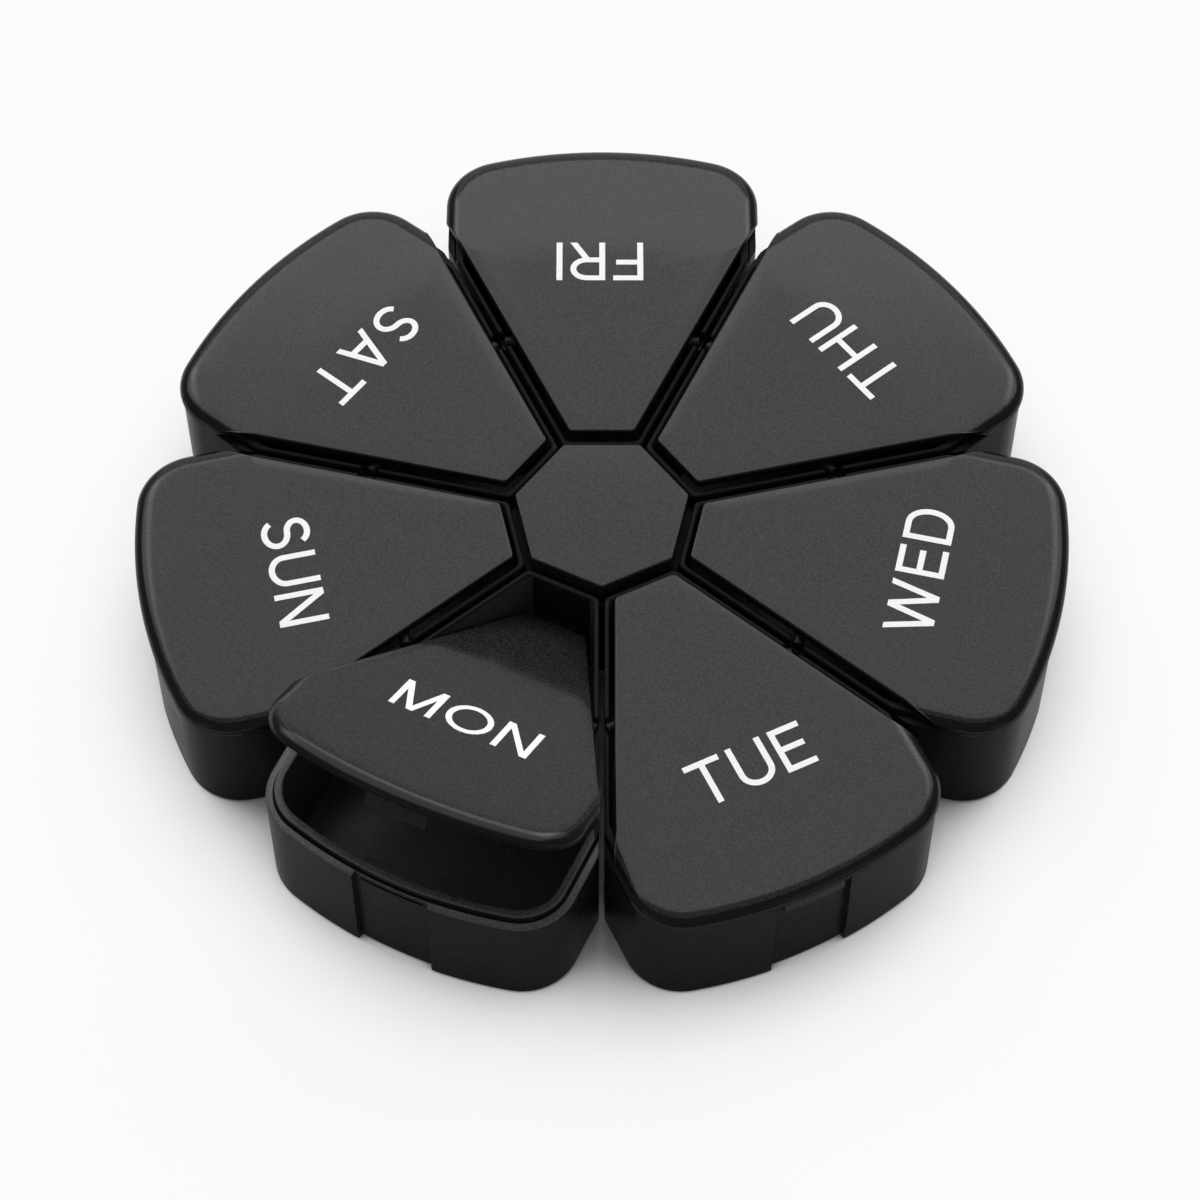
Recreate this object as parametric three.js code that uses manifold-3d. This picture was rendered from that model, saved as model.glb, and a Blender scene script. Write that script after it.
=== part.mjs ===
// A seven-day pill organizer shaped like a flower, in millimetres, with +Z up.
// Seven wedge-shaped compartments slide onto a seven-sided hub. Each has a lid that tilts on a cross rod:
// pressing the hub end of a lid down tips its outer end up. The origin is on the hub's axis, at table level.
import * as THREE from "three";
import { mergeVertices } from "three/addons/utils/BufferGeometryUtils.js";
import Module from "manifold-3d";

// Overall form
const days = ["fri", "sat", "sun", "mon", "tue", "wed", "thu"]; // in turn, seen from above, from the far side
const openDay = "mon";
const overallHeight = 20.5;
const petalReach = 62; // hub axis to the middle of a lid's outer edge
const straightSide = 6.94; // the sides run parallel this far, from the wedge to the outer corners
const cornerRadius = 8; // the lid's outer corners, seen from above
const kinkRadius = 5; // where the wedge's side turns into the parallel side
const openAngle = 29.5; // degrees that a lid tilts from shut to its stop
const slideClearance = 0.3; // between two pieces that touch or slide

// Compartments
const floorThickness = 1.2;
const compartmentGap = 0.7; // between the side walls of two neighbours
const sideWall = 0.7;
const hubWall = 0.8;
const hubWallFace = 11.5; // hub axis to the compartment's wall at the hub
const rimRise = 1.1; // from the shoulder under the lid's skirt to the top of the rim
const rimRing = 1.1; // the raised ring's width at the outer end
const wallInset = 0.3; // the outer wall stands this far inside the lid's edge
const underEdge = 0.7; // rounding of the outer edge at the table
const shoulderEdge = 0.25;
const shoulderFall = 0.1; // the shoulder slopes down this much from the rim to its outer edge
const pocketEdge = 1; // rounding between the pocket's floor and walls

// Latch recess in the outer wall, and the groove in it
const recessHalfWidth = 5.3;
const recessDepth = 0.8;
const grooveHalfWidth = 4.4;
const grooveDepth = 0.45;
const grooveHeight = 0.6;
const grooveDrop = 0.9; // shoulder to the groove's upper edge

// Lids
const lidThickness = 1.2;
const skirtThickness = 1.2;
const lidEdge = 1.1; // rounding of the lid's outer edge
const lidSideEdge = 0.35; // rounding of the lid's edge along the wedge and at the hub
const pocketClearance = 0.55; // lid to the pocket's walls, which the hub end dips between
const tabHalfWidth = 4.2;
const tabThickness = 0.6;
const tabDrop = 2;
const ribLength = 6;
const ribThickness = 1.1;
const ribDrop = 1.6;

// Pivot
const pivotRadius = 29.2; // hub axis to the cross rod's axis
const pivotDrop = 0.85; // rim's top to the cross rod's axis
const rodRadius = 0.8;
const rodEndInset = 0.3; // the rod's end to the wall's outer face
const clipPlace = 7; // middle of each clip, either side
const clipWidth = 3;
const clipWall = 0.85;
const clipMouth = 1.4;

// Ledge that the hub end of an open lid lands on
const ledgeHalfWidth = 2.6;
const ledgeThickness = 0.9;
const ledgeBracket = 2.6; // height of the sloping underside
const ledgeReach = 0.9; // past the lid's edge

// T-rail on each compartment, and the hub it slides onto
const railNeckWidth = 2.4;
const railNeckLength = 2;
const railHeadWidth = 4.4;
const railHeadThickness = 1.2;
const railCover = 1.4; // the core's top above the rails
const capDepth = 4.1; // the cap's top above the core
const plugRadius = 2.5;
const plugLength = 6;
const capFace = 10.45; // hub axis to a side of the cap's top face
const capEdge = 0.25;
const capWall = 1.2;

// Smoothness
const cornerSteps = 7;
const arcSteps = 10;
const filletSteps = 3;
const smallRadius = 0.9; // rounding of the outlines' corners at the hub
const edgeSteps = 4;
const roundSteps = 20;
const overrun = 1; // how far a cutter reaches past what it cuts

// What follows from these sizes
const petalAngle = (2 * Math.PI) / days.length;
const wedge = petalAngle / 2;
const lidUnderside = overallHeight - lidThickness;
const rimTop = lidUnderside - slideClearance;
const shoulderTop = rimTop - rimRise;
const skirtBottom = shoulderTop + slideClearance;
const pivotHeight = rimTop - pivotDrop;
const coreTop = overallHeight - capDepth;
const railHeight = coreTop - railCover;
const petalHalfWidth = widthAcrossSides(petalReach - cornerRadius) / 2;
const cornerY = petalHalfWidth - cornerRadius;
const cornerX = Math.sqrt((petalReach - cornerRadius) ** 2 - cornerY ** 2);
const cornerTurn = Math.atan2(cornerY, cornerX);
const wallGap = compartmentGap / 2;
const pocketGap = wallGap + sideWall;
const lidGap = pocketGap + pocketClearance;
const rimInset = skirtThickness + slideClearance;
const pocketInset = rimInset + rimRing;
const pocketHubFace = hubWallFace + hubWall;
const lidHubFace = pocketHubFace + pocketClearance;
const recessFloor = petalReach - wallInset - recessDepth;
const boreRadius = rodRadius + slideClearance;
const openRadians = THREE.MathUtils.degToRad(openAngle);

// The width at which the wedge, the straight sides and the outer corners meet: a corner's centre lies on a
// circle of this radius about the hub.
function widthAcrossSides(centreCircle) {
  const run = 1 / Math.tan(wedge);
  const a = run ** 2 + 1;
  const b = straightSide * run - cornerRadius;
  const c = straightSide ** 2 + cornerRadius ** 2 - centreCircle ** 2;
  return (2 * (Math.sqrt(b ** 2 - a * c) - b)) / a;
}

const wasm = await Module();
wasm.setup();

function toSolid(geometry) {
  const bare = geometry.clone();
  bare.deleteAttribute("normal");
  bare.deleteAttribute("uv");
  const merged = mergeVertices(bare);
  return new wasm.Manifold(
    new wasm.Mesh({
      numProp: 3,
      vertProperties: new Float32Array(merged.attributes.position.array),
      triVerts: new Uint32Array(merged.index.array),
    }),
  );
}

function toGeometry(solid) {
  const mesh = solid.getMesh();
  const geometry = new THREE.BufferGeometry();
  geometry.setAttribute("position", new THREE.BufferAttribute(new Float32Array(mesh.vertProperties), 3));
  geometry.setIndex(new THREE.BufferAttribute(new Uint32Array(mesh.triVerts), 1));
  const faceted = geometry.toNonIndexed();
  faceted.computeVertexNormals();
  return faceted;
}

// Outlines, counter-clockwise, with x away from the hub and y along the rim

function arcPoints(centre, radius, from, to, steps) {
  const points = [];
  for (let i = 0; i <= steps; i++) {
    const turn = from + ((to - from) * i) / steps;
    points.push(new THREE.Vector2(centre.x + radius * Math.cos(turn), centre.y + radius * Math.sin(turn)));
  }
  return points;
}

function filletPoints(before, corner, after, radius) {
  const back = before.clone().sub(corner).normalize();
  const ahead = after.clone().sub(corner).normalize();
  const half = Math.acos(back.dot(ahead)) / 2;
  const towards = back.clone().add(ahead).normalize();
  const centre = corner.clone().addScaledVector(towards, radius / Math.sin(half));
  const setback = radius / Math.tan(half);
  const start = corner.clone().addScaledVector(back, setback).sub(centre);
  const end = corner.clone().addScaledVector(ahead, setback).sub(centre);
  const from = start.angle();
  const turn = Math.atan2(start.cross(end), start.dot(end));
  return arcPoints(centre, radius, from, from + turn, filletSteps);
}

// inset moves the outer edge and the parallel sides in; gap is the distance to the line halfway to the
// neighbouring petal.
function petalOutline(inset, gap, hubFace) {
  const halfWidth = petalHalfWidth - inset;
  const sideShift = gap / Math.cos(wedge);
  const kinkX = (halfWidth + sideShift) / Math.tan(wedge);
  const hubY = hubFace * Math.tan(wedge) - sideShift;
  const hub = [new THREE.Vector2(hubFace, -hubY), new THREE.Vector2(hubFace, hubY)];
  const kink = [new THREE.Vector2(kinkX, -halfWidth), new THREE.Vector2(kinkX, halfWidth)];
  const corner = [new THREE.Vector2(cornerX, -cornerY), new THREE.Vector2(cornerX, cornerY)];
  const sideEnd = [new THREE.Vector2(cornerX, -halfWidth), new THREE.Vector2(cornerX, halfWidth)];
  const axis = new THREE.Vector2(0, 0);
  const radius = cornerRadius - inset;
  const outer = arcPoints(axis, petalReach - inset, -cornerTurn, cornerTurn, arcSteps);
  return [
    ...filletPoints(hub[1], hub[0], kink[0], smallRadius),
    ...filletPoints(hub[0], kink[0], sideEnd[0], kinkRadius),
    ...arcPoints(corner[0], radius, -Math.PI / 2, -cornerTurn, cornerSteps),
    ...outer.slice(1, -1),
    ...arcPoints(corner[1], radius, cornerTurn, Math.PI / 2, cornerSteps),
    ...filletPoints(sideEnd[1], kink[1], hub[1], kinkRadius),
    ...filletPoints(kink[1], hub[1], hub[0], smallRadius),
  ];
}

function heptagon(face) {
  const corner = face / Math.cos(wedge);
  return days.map((day, i) => {
    const turn = petalAngle * i + wedge;
    return new THREE.Vector2(corner * Math.cos(turn), corner * Math.sin(turn));
  });
}

// Joins outlines of equally many points, each at its own height, into one closed solid.
function stack(levels) {
  const count = levels[0].points.length;
  const positions = levels.flatMap(({ points, z }) => points.flatMap((p) => [p.x, p.y, z]));
  const faces = [];
  for (let level = 0; level < levels.length - 1; level++) {
    for (let i = 0; i < count; i++) {
      const a = level * count + i;
      const b = level * count + ((i + 1) % count);
      faces.push(a, b, b + count);
      faces.push(a, b + count, a + count);
    }
  }
  const lastLevel = (levels.length - 1) * count;
  for (const [a, b, c] of THREE.ShapeUtils.triangulateShape(levels[0].points, [])) faces.push(a, c, b);
  for (const [a, b, c] of THREE.ShapeUtils.triangulateShape(levels.at(-1).points, [])) {
    faces.push(lastLevel + a, lastLevel + b, lastLevel + c);
  }
  const geometry = new THREE.BufferGeometry();
  geometry.setAttribute("position", new THREE.Float32BufferAttribute(positions, 3));
  geometry.setIndex(faces);
  return toSolid(geometry);
}

const prism = (points, low, high) => stack([{ points, z: low }, { points, z: high }]);

// A bar along y, from a closed profile in x and z.
const bar = (profile, yLow, yHigh) => prism(profile, -yHigh, -yLow).rotate([90, 0, 0]);

// A curved bar along the outer edge, between two radii, two places along the rim and two heights.
function arcBand(innerRadius, outerRadius, yLow, yHigh, low, high) {
  const axis = new THREE.Vector2(0, 0);
  const turn = (y, radius) => Math.asin(y / radius);
  const outer = arcPoints(axis, outerRadius, turn(yLow, outerRadius), turn(yHigh, outerRadius), filletSteps);
  const inner = arcPoints(axis, innerRadius, turn(yHigh, innerRadius), turn(yLow, innerRadius), filletSteps);
  return prism([...outer, ...inner], low, high);
}

function block(xLow, xHigh, halfWidth, low, high) {
  const geometry = new THREE.BoxGeometry(xHigh - xLow, 2 * halfWidth, high - low);
  geometry.translate((xLow + xHigh) / 2, 0, (low + high) / 2);
  return toSolid(geometry);
}

// A round bar along y at the pivot, from one place to another.
function pivotBar(radius, yLow, yHigh) {
  const geometry = new THREE.CylinderGeometry(radius, radius, yHigh - yLow, roundSteps);
  geometry.translate(0, (yLow + yHigh) / 2, 0);
  geometry.translate(pivotRadius, 0, pivotHeight);
  return toSolid(geometry);
}

// The place along the rim of a line that keeps a gap to the petal's boundary.
const sideAt = (x, gap) => x * Math.tan(wedge) - gap / Math.cos(wedge);

function ledgeSolid() {
  const lidEnd = pivotRadius - lidHubFace;
  const lidRise = lidUnderside - pivotHeight;
  const landX = pivotRadius - lidEnd * Math.cos(openRadians) - lidRise * Math.sin(openRadians);
  const landZ = pivotHeight - lidEnd * Math.sin(openRadians) + lidRise * Math.cos(openRadians);
  const top = landZ - slideClearance;
  const root = pocketHubFace - hubWall / 2;
  const tip = landX + ledgeReach;
  const profile = [
    new THREE.Vector2(root, top - ledgeThickness - ledgeBracket),
    new THREE.Vector2(tip, top - ledgeThickness),
    new THREE.Vector2(tip, top),
    new THREE.Vector2(root, top),
  ];
  return bar(profile, -ledgeHalfWidth, ledgeHalfWidth);
}

function railSolid() {
  const headOuter = hubWallFace - railNeckLength;
  const headInner = headOuter - railHeadThickness;
  const neck = block(headInner, hubWallFace + hubWall / 2, railNeckWidth / 2, 0, railHeight);
  return neck.add(block(headInner, headOuter, railHeadWidth / 2, 0, railHeight));
}

function compartmentSolid() {
  const underside = petalOutline(wallInset + underEdge, wallGap + underEdge, hubWallFace + underEdge);
  const shoulderOuter = shoulderTop - shoulderFall;
  const body = stack([
    { points: underside, z: 0 },
    { points: petalOutline(wallInset, wallGap, hubWallFace), z: underEdge },
    { points: petalOutline(wallInset, wallGap, hubWallFace), z: shoulderOuter - shoulderEdge },
    { points: petalOutline(wallInset + shoulderEdge, wallGap, hubWallFace), z: shoulderOuter },
    { points: petalOutline(rimInset, wallGap, hubWallFace), z: shoulderTop },
    { points: petalOutline(rimInset, wallGap, hubWallFace), z: rimTop },
  ]);
  const pocket = stack([
    { points: petalOutline(pocketInset + pocketEdge, pocketGap + pocketEdge, pocketHubFace + pocketEdge),
      z: floorThickness },
    { points: petalOutline(pocketInset, pocketGap, pocketHubFace), z: floorThickness + pocketEdge },
    { points: petalOutline(pocketInset, pocketGap, pocketHubFace), z: rimTop + overrun },
  ]);
  const recess = arcBand(
    recessFloor, petalReach + overrun, -recessHalfWidth, recessHalfWidth, -overrun, shoulderTop + overrun);
  const grooveTop = shoulderTop - grooveDrop;
  const groove = arcBand(
    recessFloor - grooveDepth, petalReach, -grooveHalfWidth, grooveHalfWidth,
    grooveTop - grooveHeight, grooveTop);
  const seat = pivotBar(boreRadius, -petalHalfWidth, petalHalfWidth);
  return body.subtract(pocket).subtract(recess).subtract(groove).subtract(seat)
    .add(ledgeSolid()).add(railSolid());
}

function lidSolid() {
  const rounding = [{ inset: 0, gap: lidGap, hubFace: lidHubFace, z: skirtBottom }];
  for (let i = 0; i <= edgeSteps; i++) {
    const z = overallHeight - lidEdge * (1 - Math.sin((Math.PI / 2) * (i / edgeSteps)));
    const depth = overallHeight - z;
    const rounded = (edge) => (depth < edge ? edge - Math.sqrt(edge ** 2 - (edge - depth) ** 2) : 0);
    rounding.push({
      inset: rounded(lidEdge),
      gap: lidGap + rounded(lidSideEdge),
      hubFace: lidHubFace + rounded(lidSideEdge),
      z,
    });
  }
  const shell = stack(rounding.map((level) => {
    return { points: petalOutline(level.inset, level.gap, level.hubFace), z: level.z };
  }));
  const hollow = prism(
    petalOutline(skirtThickness, wallGap, hubWallFace), skirtBottom - overrun, lidUnderside);
  const rootHeight = (lidUnderside + overallHeight) / 2;
  const tabOuter = petalReach - slideClearance / 2;
  const tab = arcBand(
    tabOuter - tabThickness, tabOuter, -tabHalfWidth, tabHalfWidth, skirtBottom - tabDrop,
    (skirtBottom + lidUnderside) / 2);
  const ribOuter = petalReach - pocketInset - slideClearance;
  const ribs = [[cornerY - ribLength, cornerY], [-cornerY, ribLength - cornerY]].map(([low, high]) =>
    arcBand(ribOuter - ribThickness, ribOuter, low, high, lidUnderside - ribDrop, rootHeight));
  let solid = shell.subtract(hollow).add(tab).add(ribs[0]).add(ribs[1]);
  for (const place of [-clipPlace, clipPlace]) solid = solid.add(clipSolid(place, rootHeight));
  return solid;
}

// A clip under the lid that grips the rod and is open below, so that it snaps on.
function clipSolid(place, rootHeight) {
  const pivot = new THREE.Vector2(pivotRadius, pivotHeight);
  const outer = boreRadius + clipWall;
  const mouthTurn = (radius) => Math.asin(clipMouth / 2 / radius);
  const down = -Math.PI / 2;
  const boreFrom = down - mouthTurn(boreRadius);
  const boreTo = down + mouthTurn(boreRadius) - 2 * Math.PI;
  const profile = [
    new THREE.Vector2(pivotRadius - outer, rootHeight),
    ...arcPoints(pivot, outer, -Math.PI, down - mouthTurn(outer), cornerSteps),
    ...arcPoints(pivot, boreRadius, boreFrom, boreTo, roundSteps),
    ...arcPoints(pivot, outer, down + mouthTurn(outer), 0, cornerSteps),
    new THREE.Vector2(pivotRadius + outer, rootHeight),
  ];
  return bar(profile, place - clipWidth / 2, place + clipWidth / 2);
}

function rodSolid() {
  const half = sideAt(pivotRadius, wallGap) - rodEndInset;
  return pivotBar(rodRadius, -half, half);
}

function hubCoreSolid() {
  const headOuter = hubWallFace - railNeckLength;
  const headInner = headOuter - railHeadThickness;
  const slotTop = railHeight + slideClearance;
  const slotEnd = headInner - slideClearance;
  const neckSlot = block(slotEnd, hubWallFace, railNeckWidth / 2 + slideClearance, -overrun, slotTop);
  const headSlot = block(
    slotEnd, headOuter + slideClearance, railHeadWidth / 2 + slideClearance, -overrun, slotTop);
  const slot = neckSlot.add(headSlot);
  let core = prism(heptagon(hubWallFace - slideClearance), 0, coreTop);
  for (let i = 0; i < days.length; i++) {
    core = core.subtract(slot.rotate([0, 0, THREE.MathUtils.radToDeg(petalAngle * i)]));
  }
  const socket = new THREE.CylinderGeometry(
    plugRadius + slideClearance, plugRadius + slideClearance, plugLength + overrun, roundSteps);
  socket.rotateX(Math.PI / 2);
  socket.translate(0, 0, coreTop - (plugLength - overrun) / 2);
  return core.subtract(toSolid(socket));
}

function hubCapSolid() {
  const bottom = coreTop + slideClearance;
  const body = stack([
    { points: heptagon(capFace + capEdge), z: bottom },
    { points: heptagon(capFace + capEdge), z: overallHeight - capEdge },
    { points: heptagon(capFace), z: overallHeight },
  ]);
  const hollow = prism(heptagon(capFace + capEdge - capWall), bottom - overrun, overallHeight - capWall);
  const plugBottom = coreTop - plugLength + 2 * slideClearance;
  const plugTop = overallHeight - capWall / 2;
  const plug = new THREE.CylinderGeometry(plugRadius, plugRadius, plugTop - plugBottom, roundSteps);
  plug.rotateX(Math.PI / 2);
  plug.translate(0, 0, (plugTop + plugBottom) / 2);
  return body.subtract(hollow).add(toSolid(plug));
}

// Materials
const lidPlastic = new THREE.MeshStandardMaterial({ color: "#454545", roughness: 0.6, metalness: 0 });
const boxPlastic = new THREE.MeshStandardMaterial({ color: "#262626", roughness: 0.5, metalness: 0 });
const rodPlastic = new THREE.MeshStandardMaterial({ color: "#2d2d2d", roughness: 0.45, metalness: 0 });

// Assembly
const organizer = new THREE.Group();

function addMesh(parent, name, geometry, material) {
  const mesh = new THREE.Mesh(geometry, material);
  mesh.name = name;
  parent.add(mesh);
  return mesh;
}

const compartmentGeometry = toGeometry(compartmentSolid());
const lidGeometry = toGeometry(lidSolid()).translate(-pivotRadius, 0, -pivotHeight);
const rodGeometry = toGeometry(rodSolid());

const hub = new THREE.Group();
hub.rotation.z = Math.PI / 2;
organizer.add(hub);
addMesh(hub, "hub_core", toGeometry(hubCoreSolid()), boxPlastic);
addMesh(hub, "hub_cap", toGeometry(hubCapSolid()), lidPlastic);

days.forEach((day, i) => {
  const petal = new THREE.Group();
  petal.rotation.z = Math.PI / 2 + petalAngle * i;
  organizer.add(petal);
  addMesh(petal, "compartment_" + day, compartmentGeometry.clone(), boxPlastic);
  addMesh(petal, "pivot_rod_" + day, rodGeometry.clone(), rodPlastic);
  const tilt = new THREE.Group();
  tilt.position.set(pivotRadius, 0, pivotHeight);
  tilt.rotation.y = day === openDay ? -openRadians : 0;
  petal.add(tilt);
  addMesh(tilt, "lid_" + day, lidGeometry.clone(), lidPlastic);
});

export default organizer;
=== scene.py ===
"""A seven-day pill organizer shaped like a flower, in metres, with +Z up.

Seven wedge-shaped compartments stand round a seven-sided hub, and each has a lid that tilts on a cross rod.
A petal's pieces are made once, pointing along +X, and Geometry Nodes set them at each day's place.
"""
import math

import bmesh
import bpy
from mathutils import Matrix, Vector


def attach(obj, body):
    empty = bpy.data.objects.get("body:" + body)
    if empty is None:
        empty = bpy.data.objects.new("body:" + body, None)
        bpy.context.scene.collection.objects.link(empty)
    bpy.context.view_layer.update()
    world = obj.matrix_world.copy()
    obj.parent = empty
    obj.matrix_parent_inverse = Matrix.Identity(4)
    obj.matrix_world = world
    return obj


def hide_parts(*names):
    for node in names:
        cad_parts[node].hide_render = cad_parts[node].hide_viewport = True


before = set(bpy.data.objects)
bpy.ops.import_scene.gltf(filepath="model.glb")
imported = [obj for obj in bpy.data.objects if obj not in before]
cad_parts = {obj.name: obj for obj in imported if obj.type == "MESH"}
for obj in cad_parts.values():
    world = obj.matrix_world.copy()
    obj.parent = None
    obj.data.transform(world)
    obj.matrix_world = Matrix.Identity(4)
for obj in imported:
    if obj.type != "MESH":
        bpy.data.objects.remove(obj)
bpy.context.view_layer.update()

# Overall form
DAYS = ("fri", "sat", "sun", "mon", "tue", "wed", "thu")  # anticlockwise from the far side, seen from above
FIRST_TURN = math.pi / 2
OPEN_DAY = "mon"
OVERALL_HEIGHT = 0.0205
PETAL_REACH = 0.062  # hub axis to the middle of a lid's outer edge
STRAIGHT_SIDE = 0.00694  # the sides run parallel this far, from the wedge to the outer corners
CORNER_RADIUS = 0.008
KINK_RADIUS = 0.0028  # where the wedge's side turns into the parallel side
HUB_CORNER_RADIUS = 0.0009
OPEN_ANGLE = math.radians(29.5)
CLEARANCE = 0.0003

# Compartments
FLOOR_THICKNESS = 0.0012
WALL_GAP = 0.00035  # from a side wall to the line halfway to the neighbouring petal
SIDE_WALL = 0.0007
HUB_WALL = 0.0008
HUB_WALL_FACE = 0.0115  # hub axis to the compartment's wall at the hub
RIM_RISE = 0.0011  # from the shoulder under the lid's skirt to the top of the rim
RIM_RING = 0.0011  # the raised ring's width at the outer end
RIM_EDGE = 0.00022  # rounding of the rim round its outer end
RIM_CREST = 0.00034  # rounding of the rim along the wedge and at the hub
WALL_INSET = 0.0003  # the outer wall stands this far inside the lid's edge
UNDER_EDGE = 0.0007
SHOULDER_EDGE = 0.00025
SHOULDER_FALL = 0.0001  # how much lower the shoulder is at its outer edge
SHOULDER_GROOVE = 0.0003  # width of the groove between the shoulder and the raised ring
SHOULDER_GROOVE_DEPTH = 0.0004
POCKET_EDGE = 0.001

# Latch recess in the outer wall, and the groove in it
RECESS_HALF_WIDTH = 0.0053
RECESS_DEPTH = 0.0008
RECESS_EDGE = 0.00006
RECESS_MARK_SHARES = (-3, -1, 1, 3)  # of RECESS_EDGE: where the outline has its points beside a cut's edge
RECESS_ROOM_SHARE = 4  # of RECESS_EDGE: how far the evenly spread points keep away from those
GROOVE_HALF_WIDTH = 0.0044
GROOVE_DEPTH = 0.00045
GROOVE_HEIGHT = 0.0006
GROOVE_DROP = 0.0009  # shoulder to the groove's upper edge
GROOVE_EDGE = 0.00006

# Lids
LID_THICKNESS = 0.0012
SKIRT_THICKNESS = 0.0012
LID_EDGE = 0.00145  # height of the rounded outer edge
LID_EDGE_WIDTH = 0.0026
LID_SIDE_EDGE = 0.00035  # rounding along the wedge and at the hub
CROWN_START = 0.0445  # hub axis to where the top begins to fall
CROWN_SLOPE_SHARE = 0.036
CROWN_BLEND = 0.0006
SIDE_ROOM_SHARE = 0.95  # how much of a low side the rounded edge may take
LID_LIP = 0.00006
LID_UNDER_EDGE = 0.00012
POCKET_CLEARANCE = 0.00055
TAB_HALF_WIDTH = 0.0042
TAB_THICKNESS = 0.0006
TAB_DROP = 0.002
RIB_LENGTH = 0.006
RIB_THICKNESS = 0.0011
RIB_DROP = 0.0016
SMALL_EDGE = 0.00012

# Where the finishes of a piece meet, as the upward share of a face's direction
# the lids' rounded edges and skirts picked by these get painted shade
EDGE_SLOPE_SHARE = 0.92
SKIRT_SLOPE_SHARE = 0.35
# the rim ring and pocket floor faces picked by these get painted light
RING_SLOPE_SHARE = 0.3
FLOOR_SLOPE_SHARE = 0.5

# Pivot
PIVOT_RADIUS = 0.0292  # hub axis to the cross rod's axis
PIVOT_DROP = 0.00085  # rim's top to the cross rod's axis
ROD_RADIUS = 0.0008
ROD_END_INSET = 0.0003
ROD_END_EDGE = 0.0002
SEAT_MOUTH = 0.0024
SEAT_MOUTH_DEPTH = 0.0004
CLIP_PLACE = 0.007  # middle of each clip, either side
CLIP_WIDTH = 0.003
CLIP_WALL = 0.00085
CLIP_MOUTH = 0.0014

# Ledge that the hub end of an open lid lands on
LEDGE_HALF_WIDTH = 0.0026
LEDGE_THICKNESS = 0.0009
LEDGE_BRACKET = 0.0026  # height of the sloping underside
LEDGE_REACH = 0.0009  # past the place where the lid's edge lands

# Rail on each compartment, and the hub's cap
RAIL_NECK_WIDTH = 0.0024
RAIL_NECK_LENGTH = 0.002
RAIL_HEAD_WIDTH = 0.0044
RAIL_HEAD_THICKNESS = 0.0012
CAP_DEPTH = 0.0041  # the cap's top above the core
RAIL_COVER = 0.0014  # the core's top above the rails
CAP_FACE = 0.01045  # hub axis to a side of the cap's top face
CAP_EDGE = 0.00025
CAP_CORNER = 0.0006
CAP_WALL = 0.0012
PLUG_RADIUS = 0.0025
PLUG_LENGTH = 0.006

# Lettering. The shares are of the letters' height where a line says nothing else
LETTER_PLACES = {  # the middle of each word: from the hub's axis, and across the petal
    "fri": (0.0413, 0.0003),
    "sat": (0.0411, 0),
    "sun": (0.0415, 0.0002),
    "mon": (0.042, 0),
    "tue": (0.0429, 0.0003),
    "wed": (0.0428, 0.0002),
    "thu": (0.0428, -0.0001),
}
LETTER_HEIGHT = 0.0065
LETTER_WEIGHT_SHARE = 0.126
LETTER_GAP_SHARE = 0.17
LETTER_RELIEF = 0.00003
LETTER_SINK = 0.0001  # the strokes' feet below the lid's top
LETTER_WIDTH_SHARES = {
    "A": 0.84, "D": 0.78, "E": 0.66, "F": 0.64, "H": 0.76, "I": 0.126, "M": 0.9,
    "N": 0.77, "O": 0.96, "R": 0.74, "S": 0.7, "T": 0.76, "U": 0.75, "W": 1.22,
}
MIDDLE_BAR_SHARE = 0.52
LOW_BAR_SHARE = 0.3
SHORT_ARM_SHARE = 0.9  # of the letter's width
BOWL_LOW_SHARE = 0.46
BOWL_START_SHARE = 0.52  # of the letter's width
U_TURN_SHARE = 0.34
S_WAIST_SHARE = 0.53
S_UPPER_SHARE = 0.92  # of the letter's width
S_END_TURN = 22  # degrees
STROKE_STEP_SHARE = 0.1  # of the relief: each stroke of a letter lies this much lower than the one before
SLANT_END_SHARE = 1.1  # of half a stroke's width
W_FOOT_SHARE = 0.27  # of the letter's width

# Smoothness
CORNER_STEPS = 20
ARC_STEPS = 26
KINK_STEPS = 8
HUB_CORNER_STEPS = 6
BAND_STEPS = 6
EDGE_STEPS = 10
CROWN_RINGS = 9
LETTER_STEPS = 24
ROUND_STEPS = 48
OVERRUN = 0.001
BEVEL_STEPS = 2
BEVEL_PROFILE_SHARE = 0.5
SHARP_ANGLE = math.radians(32)
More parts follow.
